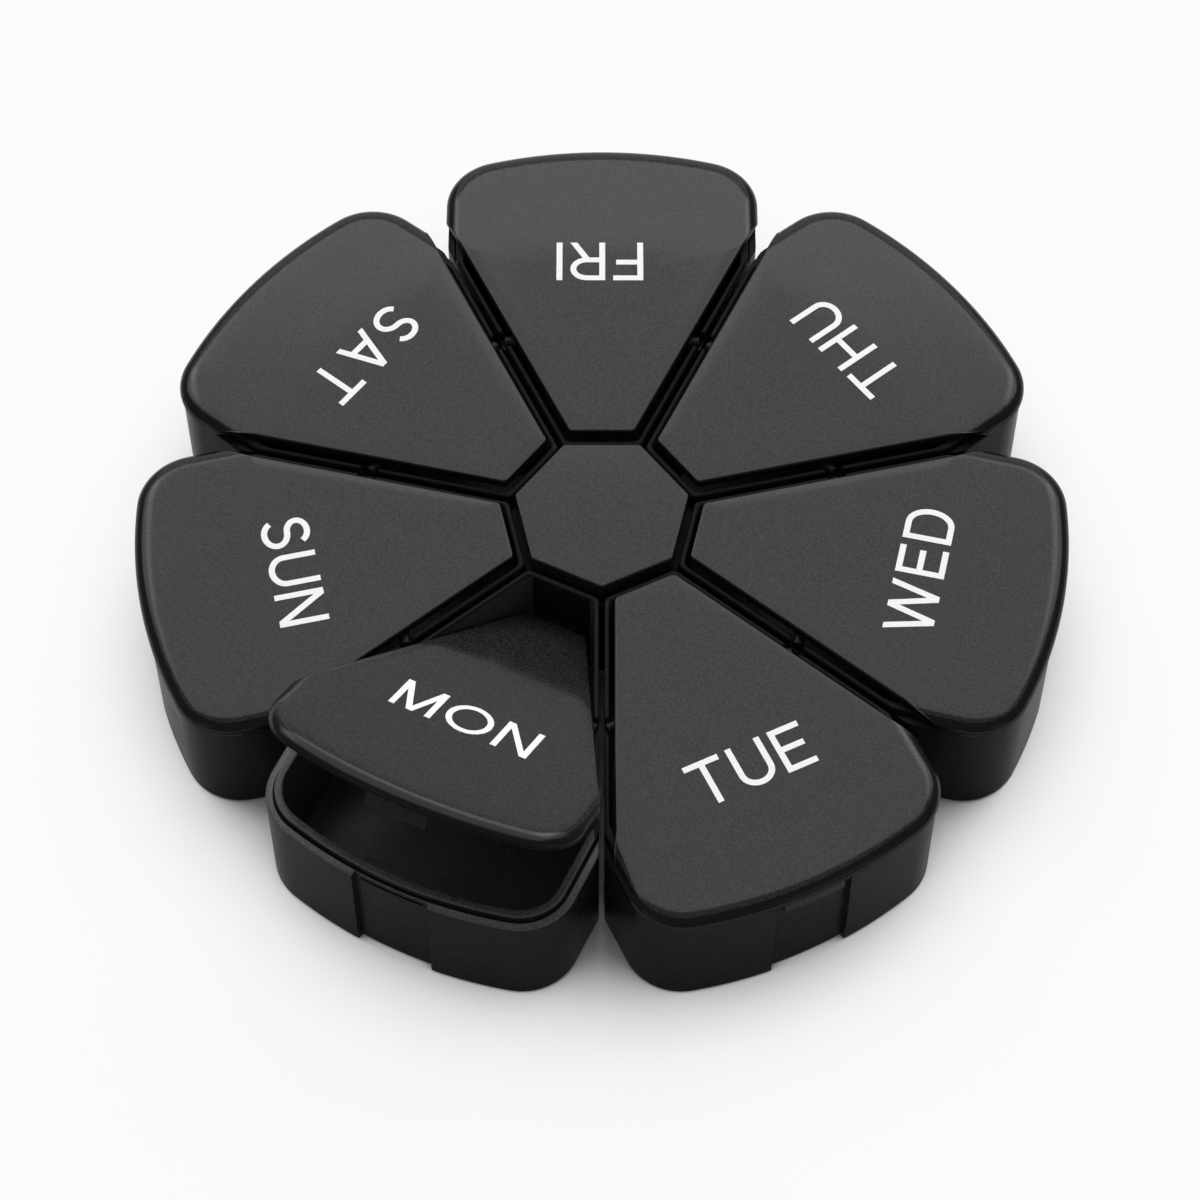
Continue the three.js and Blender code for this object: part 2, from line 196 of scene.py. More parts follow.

# Finishes: grain and mottle are lengths, and their shares say how much they change colour and gloss
# the grain's change of colour is painted shade in its hollows and painted light on its crests
FINISHES = {
    "lid_plastic_grained": {
        "colour": (0.0185, 0.0185, 0.0188), "roughness": 0.14, "specular": 0.25,
        "grain": 0.0003, "grain_depth": 0.0000024, "grain_shade_share": 0.5, "mottle": 0.006, "mottle_share": 0.1,
    },
    # painted shade: a darker copy of the lid plastic for the lid's rounded edge
    "edge_plastic_painted_shade": {
        "colour": (0.005, 0.005, 0.0051), "roughness": 0.18, "specular": 0.2,
        "grain": 0.0003, "grain_depth": 0.0000015, "grain_shade_share": 0.2, "mottle": 0.006, "mottle_share": 0.1,
    },
    # painted shade: a darker copy of the lid plastic for the lid's skirt
    "skirt_plastic_painted_shade": {
        "colour": (0.008, 0.008, 0.0081), "roughness": 0.24, "specular": 0.04,
        "grain": 0.0003, "grain_depth": 0.000003, "grain_shade_share": 0.2, "mottle": 0.006, "mottle_share": 0.1,
    },
    "side_plastic_satin": {
        "colour": (0.018, 0.018, 0.0183), "roughness": 0.24, "specular": 0.05,
        "grain": 0.0003, "grain_depth": 0.000003, "grain_shade_share": 0.3, "mottle": 0.006, "mottle_share": 0.1,
    },
    "box_plastic_satin": {
        "colour": (0.0125, 0.0125, 0.0127), "roughness": 0.26, "specular": 0.03,
        "grain": 0.00022, "grain_depth": 0.000004, "grain_shade_share": 0.3, "mottle": 0.008, "mottle_share": 0.1,
    },
    # painted light: a paler copy of the box plastic for the lit rim ring, shoulder and pocket
    "rim_plastic_painted_light": {
        "colour": (0.055, 0.055, 0.055), "roughness": 0.3, "specular": 0.3,
        "grain": 0.0003, "grain_depth": 0.000004, "grain_shade_share": 0.35, "mottle": 0.004, "mottle_share": 0.1,
    },
    "rod_plastic_satin": {
        "colour": (0.01, 0.01, 0.01), "roughness": 0.3, "specular": 0.12,
        "grain": 0.0003, "grain_depth": 0.000008, "grain_shade_share": 0.2, "mottle": 0.004, "mottle_share": 0.1,
    },
    "white_ink": {
        "colour": (0.97, 0.97, 0.96), "roughness": 0.5, "specular": 0.3,
        "grain": 0.0002, "grain_depth": 0.000004, "grain_shade_share": 0.02,
        "mottle": 0.003, "mottle_share": 0.05,
    },
}
GRAIN_DETAIL = 2
GRAIN_ROUGHNESS_SHARE = 0.5
GRAIN_LOW_SHARE = 0.35
GRAIN_HIGH_SHARE = 0.65
MOTTLE_DETAIL = 4
MOTTLE_ROUGHNESS_SHARE = 0.55
MOTTLE_LOW_SHARE = 0.3
MOTTLE_HIGH_SHARE = 0.7

# Studio, with angles in degrees. Azimuth 0 is behind the object, and an elevation is above the floor
CAMERA_PLACE = (0, -0.26856, 0.42927)
CAMERA_TILT = 31.92
CAMERA_TURN = 0.052
CAMERA_LENS = 110.68  # mm
SENSOR_WIDTH = 36  # mm
FLOOR_HALF_WIDTH = 6
FLOOR_COLOUR = (0.985, 0.98, 0.97, 1)
FLOOR_WHITE_SHARE = 0.87
# the floor's own white fades near walls, as painted shade at the object's foot and in the slits
FLOOR_CONTACT_REACH = 0.04  # how near a wall has to be for the floor to count it
SLIT_SHARE = 0.34  # how open the floor is in the slits between petals
WALL_FOOT_SHARE = 0.8  # how open the floor is at the foot of a wall
SURROUNDINGS_COLOUR = (1, 1, 0.995, 1)
SURROUNDINGS_STRENGTH = 0.26
SOFTBOXES = {
    "main_softbox": {
        "azimuth": 0, "elevation": 64, "distance": 2.0, "width": 2.6, "height": 1.8, "radiance": 1.8,
    },
    "band_softbox": {
        "azimuth": 0, "elevation": 44.5, "distance": 2.2, "width": 2.4, "height": 0.5, "radiance": 1.2,
    },
    "low_softbox": {
        "azimuth": 0, "elevation": 19, "distance": 2.2, "width": 2.4, "height": 1.3, "radiance": 0.55,
    },
    "left_softbox": {
        "azimuth": -46, "elevation": 42, "distance": 2.2, "width": 1.0, "height": 0.9, "radiance": 1.8,
    },
    "right_softbox": {
        "azimuth": 46, "elevation": 42, "distance": 2.2, "width": 1.0, "height": 0.9, "radiance": 1.8,
    },
    "left_front_softbox": {
        "azimuth": -135, "elevation": 20, "distance": 2.0, "width": 0.7, "height": 0.9, "radiance": 0.4,
    },
    "right_front_softbox": {
        "azimuth": 135, "elevation": 20, "distance": 2.0, "width": 0.7, "height": 0.9, "radiance": 0.4,
    },
}

# What follows from these sizes
PETAL_ANGLE = 2 * math.pi / len(DAYS)
WEDGE = PETAL_ANGLE / 2
LID_UNDERSIDE = OVERALL_HEIGHT - LID_THICKNESS
RIM_TOP = LID_UNDERSIDE - CLEARANCE
SHOULDER_TOP = RIM_TOP - RIM_RISE
SKIRT_BOTTOM = SHOULDER_TOP + CLEARANCE
PIVOT_HEIGHT = RIM_TOP - PIVOT_DROP
BORE_RADIUS = ROD_RADIUS + CLEARANCE
CORE_TOP = OVERALL_HEIGHT - CAP_DEPTH
RAIL_HEIGHT = CORE_TOP - RAIL_COVER
POCKET_GAP = WALL_GAP + SIDE_WALL
LID_GAP = POCKET_GAP + POCKET_CLEARANCE
RIM_INSET = SKIRT_THICKNESS + CLEARANCE
POCKET_INSET = RIM_INSET + RIM_RING
POCKET_HUB_FACE = HUB_WALL_FACE + HUB_WALL
LID_HUB_FACE = POCKET_HUB_FACE + POCKET_CLEARANCE
POCKET_MIDDLE = Vector(((POCKET_HUB_FACE + PETAL_REACH) / 2, 0, 0))


def width_across_sides(centre_circle):
    """The width at which the wedge, the straight sides and the outer corners meet."""
    run = 1 / math.tan(WEDGE)
    a = run ** 2 + 1
    b = STRAIGHT_SIDE * run - CORNER_RADIUS
    c = STRAIGHT_SIDE ** 2 + CORNER_RADIUS ** 2 - centre_circle ** 2
    return 2 * (math.sqrt(b ** 2 - a * c) - b) / a


PETAL_HALF_WIDTH = width_across_sides(PETAL_REACH - CORNER_RADIUS) / 2
CORNER_Y = PETAL_HALF_WIDTH - CORNER_RADIUS
CORNER_X = math.sqrt((PETAL_REACH - CORNER_RADIUS) ** 2 - CORNER_Y ** 2)
CORNER_TURN = math.atan2(CORNER_Y, CORNER_X)


# Outlines, with x away from the hub and y along the rim

def arc(centre, radius, start, end, steps):
    turns = [start + (end - start) * i / steps for i in range(steps + 1)]
    return [Vector((centre[0] + radius * math.cos(t), centre[1] + radius * math.sin(t))) for t in turns]


def rounded_corner(before, corner, after, radius, steps):
    back = (before - corner).normalized()
    ahead = (after - corner).normalized()
    half = back.angle(ahead) / 2
    centre = corner + (back + ahead).normalized() * (radius / math.sin(half))
    setback = radius / math.tan(half)
    start = corner + back * setback - centre
    end = corner + ahead * setback - centre
    turn = math.atan2(start.cross(end), start.dot(end))
    first = math.atan2(start.y, start.x)
    return arc(centre, radius, first, first + turn, steps)


def outer_turns():
    """Where the outer arc has its points: evenly, and closely at the edges of the recess and its groove."""
    recess = math.asin(RECESS_HALF_WIDTH / PETAL_REACH)
    groove = math.asin(GROOVE_HALF_WIDTH / PETAL_REACH)
    soft = RECESS_EDGE / PETAL_REACH
    marks = [edge + share * soft for edge in (groove, recess) for share in RECESS_MARK_SHARES]
    room = RECESS_ROOM_SHARE * soft
    even = [CORNER_TURN * i / ARC_STEPS for i in range(1, ARC_STEPS)]
    spread = [turn for turn in even if min(abs(turn - mark) for mark in marks) > room]
    half = sorted(marks + spread)
    return [-turn for turn in reversed(half)] + [0] + half


def step_share(turn, edge_width):
    """1 inside a cut of this half-width, 0 outside it, with a steep wall between."""
    inside = (math.asin(edge_width / PETAL_REACH) - abs(turn)) * PETAL_REACH / RECESS_EDGE
    return min(1, max(0, (inside + 1) / 2))


OUTER_TURNS = outer_turns()


def outer_edge(radius, recess, groove):
    points = []
    for turn in OUTER_TURNS:
        depth = recess * step_share(turn, RECESS_HALF_WIDTH) + groove * step_share(turn, GROOVE_HALF_WIDTH)
        out = radius - depth
        points.append(Vector((out * math.cos(turn), out * math.sin(turn))))
    return points


def petal_outline(inset, gap, hub_face, recess=0, groove=0):
    """The outline of a petal or of a piece of it.

    inset moves the outer edge and the parallel sides in, and gap is the distance from the wedge's sides to
    the line halfway to the neighbouring petal.
    """
    half_width = PETAL_HALF_WIDTH - inset
    shift = gap / math.cos(WEDGE)
    kink_x = (half_width + shift) / math.tan(WEDGE)
    hub_y = hub_face * math.tan(WEDGE) - shift
    hub = [Vector((hub_face, side * hub_y)) for side in (-1, 1)]
    kink = [Vector((kink_x, side * half_width)) for side in (-1, 1)]
    side_end = [Vector((CORNER_X, side * half_width)) for side in (-1, 1)]
    radius = CORNER_RADIUS - inset
    return [
        *rounded_corner(hub[1], hub[0], kink[0], HUB_CORNER_RADIUS, HUB_CORNER_STEPS),
        *rounded_corner(hub[0], kink[0], side_end[0], KINK_RADIUS, KINK_STEPS),
        *arc((CORNER_X, -CORNER_Y), radius, -math.pi / 2, -CORNER_TURN, CORNER_STEPS),
        *outer_edge(PETAL_REACH - inset, recess, groove),
        *arc((CORNER_X, CORNER_Y), radius, CORNER_TURN, math.pi / 2, CORNER_STEPS),
        *rounded_corner(side_end[1], kink[1], hub[1], KINK_RADIUS, KINK_STEPS),
        *rounded_corner(kink[1], hub[1], hub[0], HUB_CORNER_RADIUS, HUB_CORNER_STEPS),
    ]


def skirt_shares():
    """How far the skirt hangs down at an outline's points: not along the wedge, fully past the kinks."""
    hub = [0] * (HUB_CORNER_STEPS + 1)
    kink = [i / KINK_STEPS for i in range(KINK_STEPS + 1)]
    outer = [1] * (2 * (CORNER_STEPS + 1) + len(OUTER_TURNS))
    return hub + kink + outer + kink[::-1] + hub


def heptagon(face, corner_radius):
    """An outline round the hub's axis, with its sides this far away and one corner between two petals."""
    reach = face / math.cos(WEDGE)
    corners = []
    for i in range(len(DAYS)):
        turn = FIRST_TURN + PETAL_ANGLE * i + WEDGE
        corners.append(Vector((reach * math.cos(turn), reach * math.sin(turn))))
    points = []
    for i, corner in enumerate(corners):
        after = corners[(i + 1) % len(corners)]
        points += rounded_corner(corners[i - 1], corner, after, corner_radius, HUB_CORNER_STEPS)
    return points


# Meshes

def lofted(rings):
    """Joins rings of equally many points into one closed mesh, from its first cap to its last."""
    form = bmesh.new()
    rows = [[form.verts.new(point) for point in ring] for ring in rings]
    for low, high in zip(rows, rows[1:]):
        for i in range(len(low)):
            j = (i + 1) % len(low)
            form.faces.new((low[i], low[j], high[j], high[i]))
    form.faces.new(list(reversed(rows[0])))
    form.faces.new(rows[-1])
    return form


def at_height(points, z):
    return [(p.x, p.y, z) for p in points]


def softened(form, width):
    """Rounds the crisp edges of a small solid."""
    sharp = [edge for edge in form.edges if edge.calc_face_angle(0) > SHARP_ANGLE]
    bmesh.ops.bevel(
        form, geom=sharp, offset=width, segments=BEVEL_STEPS, profile=BEVEL_PROFILE_SHARE, affect="EDGES")
    return form


def bar(profile, y_low, y_high, edge=SMALL_EDGE):
    """A bar along y from a closed profile in x and z."""
    rings = [[(x, y, z) for x, z in profile] for y in (y_high, y_low)]
    return softened(lofted(rings), edge)


def arc_band(inner, outer, y_low, y_high, low, high):
    """A curved block along the outer edge."""
    axis = (0, 0)
    out = arc(axis, outer, math.asin(y_low / outer), math.asin(y_high / outer), BAND_STEPS)
    back = arc(axis, inner, math.asin(y_high / inner), math.asin(y_low / inner), BAND_STEPS)
    return softened(lofted([at_height(out + back, z) for z in (low, high)]), SMALL_EDGE)


def joined(name, *forms):
    """One mesh from several closed solids, shaded smooth up to its crisp edges."""
    mesh = bpy.data.meshes.new(name)
    whole = bmesh.new()
    for form in forms:
        part = bpy.data.meshes.new(name)
        bmesh.ops.recalc_face_normals(form, faces=form.faces)
        form.to_mesh(part)
        form.free()
        whole.from_mesh(part)
        bpy.data.meshes.remove(part)
    whole.to_mesh(mesh)
    whole.free()
    mesh.shade_smooth()
    mesh.set_sharp_from_angle(angle=SHARP_ANGLE)
    return mesh


def node_in(tree, kind, inputs=(), output=0, **settings):
    """One output of a new node, whose inputs are values or the outputs of other nodes."""
    made = tree.nodes.new(kind)
    for key, value in settings.items():
        setattr(made, key, value)
    for key, value in dict(inputs).items():
        if isinstance(value, bpy.types.NodeSocket):
            tree.links.new(value, made.inputs[key])
        else:
            made.inputs[key].default_value = value
    return made.outputs[output]


def tree_with(name, sockets):
    """An empty tree of Geometry Nodes with named inputs and one geometry out."""
    tree = bpy.data.node_groups.new(name, "GeometryNodeTree")
    for socket, kind in sockets.items():
        tree.interface.new_socket(socket, in_out="INPUT", socket_type=kind)
    tree.interface.new_socket("Result", in_out="OUTPUT", socket_type="NodeSocketGeometry")
    return tree


def run_tree(tree, mesh, given):
    """The plain mesh that a tree makes of this one, with its named inputs given."""
    draft = bpy.data.objects.new("draft", mesh)
    modifier = draft.modifiers.new("tree", "NODES")
    modifier.node_group = tree
    for socket in tree.interface.items_tree:
        if socket.name in given:
            modifier[socket.identifier] = given[socket.name]
    bpy.context.scene.collection.objects.link(draft)
    depsgraph = bpy.context.evaluated_depsgraph_get()
    result = bpy.data.meshes.new_from_object(draft.evaluated_get(depsgraph))
    bpy.data.objects.remove(draft)
    return result


def pair_tree():
    """Repeats a piece that lies beside the petal's middle line on the other side of it."""
    tree = tree_with("pair_across_petal", {"One Side": "NodeSocketGeometry"})
    given = tree.nodes.new("NodeGroupInput").outputs
    mirrored = node_in(tree, "GeometryNodeTransform", {"Geometry": given["One Side"], "Scale": (1, -1, 1)})
    turned_out = node_in(tree, "GeometryNodeFlipFaces", {"Mesh": mirrored})
    both = tree.nodes.new("GeometryNodeJoinGeometry")
    for side in (given["One Side"], turned_out):
        tree.links.new(side, both.inputs["Geometry"])
    whole = node_in(tree, "GeometryNodeRealizeInstances", {"Geometry": both.outputs[0]})
    tree.links.new(whole, tree.nodes.new("NodeGroupOutput").inputs["Result"])
    return tree


def quarter(height, width=None):
    """A rounded edge as pairs: how far in from the side, and how far down from the top."""
    turns = [math.pi / 2 * i / EDGE_STEPS for i in range(EDGE_STEPS + 1)]
    return [((width or height) * (1 - math.cos(t)), height * (1 - math.sin(t))) for t in turns]


def edge_inset(radius, down):
    """How far in a rounded edge of this radius lies, this far below the top."""
    rest = max(0, radius - down)
    return radius - math.sqrt(radius ** 2 - rest ** 2)


def compartment_rings():
    """The rings of a compartment's skin, from the underside's middle over the rim to the pocket's floor."""
    def wall(inset, gap, hub, z, recess=RECESS_DEPTH, groove=0):
        outline = petal_outline(WALL_INSET + inset, WALL_GAP + gap, HUB_WALL_FACE + hub, recess, groove)
        return at_height(outline, z)

    rings = [wall(inset, inset, inset, down) for inset, down in reversed(quarter(UNDER_EDGE))]
    groove_top = SHOULDER_TOP - GROOVE_DROP
    groove_low = groove_top - GROOVE_HEIGHT
    rings += [
        wall(0, 0, 0, groove_low),
        wall(0, 0, 0, groove_low + GROOVE_EDGE, groove=GROOVE_DEPTH),
        wall(0, 0, 0, groove_top - GROOVE_EDGE, groove=GROOVE_DEPTH),
        wall(0, 0, 0, groove_top),
    ]
    shoulder = SHOULDER_TOP - SHOULDER_FALL
    rings += [wall(inset, 0, 0, shoulder - down) for inset, down in quarter(SHOULDER_EDGE)]
    foot = RIM_INSET - SHOULDER_GROOVE
    for inset, z in (
        (foot, SHOULDER_TOP),
        (foot + GROOVE_EDGE, SHOULDER_TOP - SHOULDER_GROOVE_DEPTH),
        (RIM_INSET - GROOVE_EDGE, SHOULDER_TOP - SHOULDER_GROOVE_DEPTH + GROOVE_EDGE),
        (RIM_INSET, SHOULDER_TOP),
    ):
        rings.append(at_height(petal_outline(inset, WALL_GAP, HUB_WALL_FACE), z))
    for side, down in quarter(RIM_CREST):
        inset = edge_inset(RIM_EDGE, down)
        rings.append(at_height(
            petal_outline(RIM_INSET + inset, WALL_GAP + side, HUB_WALL_FACE + side), RIM_TOP - down))
    for side, down in reversed(quarter(RIM_CREST)):
        inset = edge_inset(RIM_EDGE, down)
        rings.append(at_height(
            petal_outline(POCKET_INSET - inset, POCKET_GAP - side, POCKET_HUB_FACE - side), RIM_TOP - down))
    for inset, down in quarter(POCKET_EDGE):
        rings.append(at_height(
            petal_outline(POCKET_INSET + inset, POCKET_GAP + inset, POCKET_HUB_FACE + inset),
            FLOOR_THICKNESS + down))
    return rings


def subtracted(mesh, cutter_mesh):
    """The mesh without what the cutter takes away."""
    body = bpy.data.objects.new("cut_body", mesh)
    cutter = bpy.data.objects.new("cutter", cutter_mesh)
    for item in (body, cutter):
        bpy.context.scene.collection.objects.link(item)
    cut = body.modifiers.new("cut", "BOOLEAN")
    cut.operation = "DIFFERENCE"
    cut.solver = "MANIFOLD"
    cut.object = cutter
    depsgraph = bpy.context.evaluated_depsgraph_get()
    result = bpy.data.meshes.new_from_object(body.evaluated_get(depsgraph))
    for item in (body, cutter):
        bpy.data.objects.remove(item)
    result.shade_smooth()
    result.set_sharp_from_angle(angle=SHARP_ANGLE)
    return result


def cut_seats(mesh):
    """Cuts the half-round seats of the cross rod, with their flared mouths, through both side walls."""
    top = RIM_TOP - SEAT_MOUTH_DEPTH
    lip = math.sqrt(BORE_RADIUS ** 2 - (top - PIVOT_HEIGHT) ** 2)
    lip_turn = math.atan2(top - PIVOT_HEIGHT, lip)
    pivot = (PIVOT_RADIUS, PIVOT_HEIGHT)
    round_part = arc(pivot, BORE_RADIUS, math.pi - lip_turn, 2 * math.pi + lip_turn, ROUND_STEPS)
    mouth_start = PIVOT_RADIUS - SEAT_MOUTH / 2
    mouth_end = PIVOT_RADIUS + SEAT_MOUTH / 2
    flare = [
        Vector((mouth_end, RIM_TOP)),
        Vector((mouth_end, RIM_TOP + OVERRUN)),
        Vector((mouth_start, RIM_TOP + OVERRUN)),
        Vector((mouth_start, RIM_TOP)),
    ]
    profile = round_part + flare
    reach = PETAL_HALF_WIDTH
    cutter_form = lofted([[(x, y, z) for x, z in profile] for y in (reach, -reach)])
    return subtracted(mesh, joined("seat_cutter", cutter_form))


def ledge_form():
    """The ledge that stops the hub end of the open lid."""
    lid_end = PIVOT_RADIUS - LID_HUB_FACE
    lid_rise = LID_UNDERSIDE - PIVOT_HEIGHT
    land_x = PIVOT_RADIUS - lid_end * math.cos(OPEN_ANGLE) - lid_rise * math.sin(OPEN_ANGLE)
    land_z = PIVOT_HEIGHT - lid_end * math.sin(OPEN_ANGLE) + lid_rise * math.cos(OPEN_ANGLE)
    top = land_z - CLEARANCE
    root = POCKET_HUB_FACE - HUB_WALL / 2
    tip = land_x + LEDGE_REACH
    profile = [
        (root, top - LEDGE_THICKNESS - LEDGE_BRACKET),
        (tip, top - LEDGE_THICKNESS),
        (tip, top),
        (root, top),
    ]
    return bar(profile, -LEDGE_HALF_WIDTH, LEDGE_HALF_WIDTH)


def block(x_low, x_high, half_width, z_low, z_high):
    profile = [(x_low, z_low), (x_high, z_low), (x_high, z_high), (x_low, z_high)]
    return bar(profile, -half_width, half_width)


def rail_forms():
    head_outer = HUB_WALL_FACE - RAIL_NECK_LENGTH
    head_inner = head_outer - RAIL_HEAD_THICKNESS
    neck_end = head_outer - RAIL_HEAD_THICKNESS / 2
    return [
        block(neck_end, HUB_WALL_FACE + HUB_WALL / 2, RAIL_NECK_WIDTH / 2, 0, RAIL_HEIGHT),
        block(head_inner, head_outer, RAIL_HEAD_WIDTH / 2, 0, RAIL_HEIGHT),
    ]


def compartment_mesh():
    walls = cut_seats(joined("compartment_walls", lofted(compartment_rings())))
    body = bmesh.new()
    body.from_mesh(walls)
    return joined("compartment", body, ledge_form(), *rail_forms())


def lid_top(point):
    """The height of the lid's top, whose outer part falls away a little."""
    beyond = point.length - CROWN_START
    eased = (beyond + math.sqrt(beyond ** 2 + CROWN_BLEND ** 2)) / 2
    return OVERALL_HEIGHT - CROWN_SLOPE_SHARE * eased


def lid_shell():
    """The lid's crowned plate with its rounded edge and skirt, made from the middle of the underside."""
    skirt_depth = LID_UNDERSIDE - SKIRT_BOTTOM
    bottoms = [LID_UNDERSIDE - max(LID_LIP, share * skirt_depth) for share in skirt_shares()]

    def hanging(points, lift=0):
        return [(p.x, p.y, bottom + lift) for p, bottom in zip(points, bottoms)]

    def inside(inset=0):
        return petal_outline(SKIRT_THICKNESS - inset, LID_GAP + LID_SIDE_EDGE, LID_HUB_FACE + LID_SIDE_EDGE)

    def edge(inset):
        return petal_outline(inset, LID_GAP, LID_HUB_FACE)

    def rounded(points, down):
        """Lower than the top by this much, or by less where the side has less room."""
        ring = []
        for p, bottom in zip(points, bottoms):
            room = lid_top(p) - bottom - LID_UNDER_EDGE
            ring.append((p.x, p.y, lid_top(p) - down * min(1, SIDE_ROOM_SHARE * room / LID_EDGE)))
        return ring

    rings = [
        at_height(inside(), LID_UNDERSIDE),
        hanging(inside(), LID_LIP / 2),
        hanging(inside(LID_UNDER_EDGE)),
        hanging(edge(LID_UNDER_EDGE)),
        hanging(edge(0), LID_UNDER_EDGE),
    ]
    for inset, down in quarter(LID_EDGE, LID_EDGE_WIDTH):
        side = edge_inset(LID_SIDE_EDGE, down)
        rings.append(rounded(petal_outline(inset, LID_GAP + side, LID_HUB_FACE + side), down))
    rim = petal_outline(LID_EDGE_WIDTH, LID_GAP + LID_SIDE_EDGE, LID_HUB_FACE + LID_SIDE_EDGE)
    middle = Vector(((LID_HUB_FACE + PETAL_REACH) / 2, 0))
    for i in range(1, CROWN_RINGS):
        rings.append(rounded([middle + (point - middle) * (1 - i / CROWN_RINGS) for point in rim], 0))
    return lofted(rings)


def clip_form(place):
    """A clip that grips the rod and is open below, so that it snaps on."""
    outer = BORE_RADIUS + CLIP_WALL
    root = (LID_UNDERSIDE + OVERALL_HEIGHT) / 2
    pivot = (PIVOT_RADIUS, PIVOT_HEIGHT)
    down = -math.pi / 2

    def mouth(radius):
        return math.asin(CLIP_MOUTH / 2 / radius)

    bore_mouth = mouth(BORE_RADIUS)
    profile = [
        Vector((PIVOT_RADIUS - outer, root)),
        *arc(pivot, outer, -math.pi, down - mouth(outer), ROUND_STEPS // 4),
        *arc(pivot, BORE_RADIUS, down - bore_mouth, down + bore_mouth - 2 * math.pi, ROUND_STEPS),
        *arc(pivot, outer, down + mouth(outer), 0, ROUND_STEPS // 4),
        Vector((PIVOT_RADIUS + outer, root)),
    ]
    return bar(profile, place - CLIP_WIDTH / 2, place + CLIP_WIDTH / 2)


def lid_mesh():
    """A lid with its skirt, latch tab, two ribs and two clips."""
    root = (LID_UNDERSIDE + OVERALL_HEIGHT) / 2
    tab_outer = PETAL_REACH - CLEARANCE / 2
    tab = arc_band(
        tab_outer - TAB_THICKNESS, tab_outer, -TAB_HALF_WIDTH, TAB_HALF_WIDTH,
        SKIRT_BOTTOM - TAB_DROP, (SKIRT_BOTTOM + LID_UNDERSIDE) / 2)
    rib_outer = PETAL_REACH - POCKET_INSET - CLEARANCE
    rib = arc_band(
        rib_outer - RIB_THICKNESS, rib_outer, CORNER_Y - RIB_LENGTH, CORNER_Y,
        LID_UNDERSIDE - RIB_DROP, root)
    hangers = bmesh.new()
    hangers.from_mesh(run_tree(pair_tree(), joined("lid_hangers", rib, clip_form(CLIP_PLACE)), {}))
    return joined("lid", lid_shell(), tab, hangers)


def rod_mesh():
    """The cross rod, with rounded ends."""
    half = PIVOT_RADIUS * math.tan(WEDGE) - WALL_GAP / math.cos(WEDGE) - ROD_END_INSET
    ends = [(half - down, ROD_RADIUS - inset) for inset, down in quarter(ROD_END_EDGE)]
    stations = [(-y, r) for y, r in reversed(ends)] + ends
    rings = []
    for y, radius in stations:
        circle = arc((PIVOT_RADIUS, PIVOT_HEIGHT), radius, 2 * math.pi, 0, ROUND_STEPS)[:-1]
        rings.append([(x, y, z) for x, z in circle])
    return joined("pivot_rod", lofted(rings))


def cap_mesh():
    """The hub's seven-sided cap, with the plug that holds it in the core."""
    side = CAP_FACE + CAP_EDGE
    bottom = CORE_TOP + CLEARANCE
    plug_bottom = CORE_TOP - PLUG_LENGTH + 2 * CLEARANCE
    ceiling = OVERALL_HEIGHT - CAP_WALL
    plug = [point.normalized() * PLUG_RADIUS for point in heptagon(side, CAP_CORNER)]
    rings = [
        at_height([point * ((PLUG_RADIUS - CAP_EDGE) / PLUG_RADIUS) for point in plug], plug_bottom),
        at_height(plug, plug_bottom + CAP_EDGE),
        at_height(plug, ceiling),
        at_height(heptagon(side - CAP_WALL, CAP_CORNER), ceiling),
        at_height(heptagon(side - CAP_WALL, CAP_CORNER), bottom),
        at_height(heptagon(side, CAP_CORNER), bottom),
    ]
    for inset, down in quarter(CAP_EDGE):
        rings.append(at_height(heptagon(side - inset, CAP_CORNER), OVERALL_HEIGHT - down))
    return joined("hub_cap_form", lofted(rings))


# Lettering, drawn as strokes in units of the letters' height

def stem(x):
    return [(x, 0), (x, 1)]


def level(y, start, end):
    return [(start, y), (end, y)]


def bend(centre, reach, start, end):
    """An elliptical run from one turn to another, in degrees."""
    turns = [math.radians(start + (end - start) * i / LETTER_STEPS) for i in range(LETTER_STEPS + 1)]
    return [(centre[0] + reach[0] * math.cos(t), centre[1] + reach[1] * math.sin(t)) for t in turns]


def bowl(width, low, high):
    """A stroke that leaves the stem, turns round and comes back to it."""
    start = width * BOWL_START_SHARE
    half = LETTER_WEIGHT_SHARE / 2
    round_part = bend((start, (low + high) / 2), (width - half - start, (high - low) / 2), 90, -90)
    return [(LETTER_WEIGHT_SHARE, high), *round_part, (LETTER_WEIGHT_SHARE, low)]


def s_stroke(width):
    """Two half-turns that meet at the waist."""
    half = LETTER_WEIGHT_SHARE / 2
    upper_reach = (S_UPPER_SHARE * width / 2 - half, (1 - half - S_WAIST_SHARE) / 2)
    lower_reach = (width / 2 - half, (S_WAIST_SHARE - half) / 2)
    upper = bend((width / 2, S_WAIST_SHARE + upper_reach[1]), upper_reach, S_END_TURN, 270)
    lower = bend((width / 2, S_WAIST_SHARE - lower_reach[1]), lower_reach, 90, S_END_TURN - 180)
    return upper[:-1] + lower


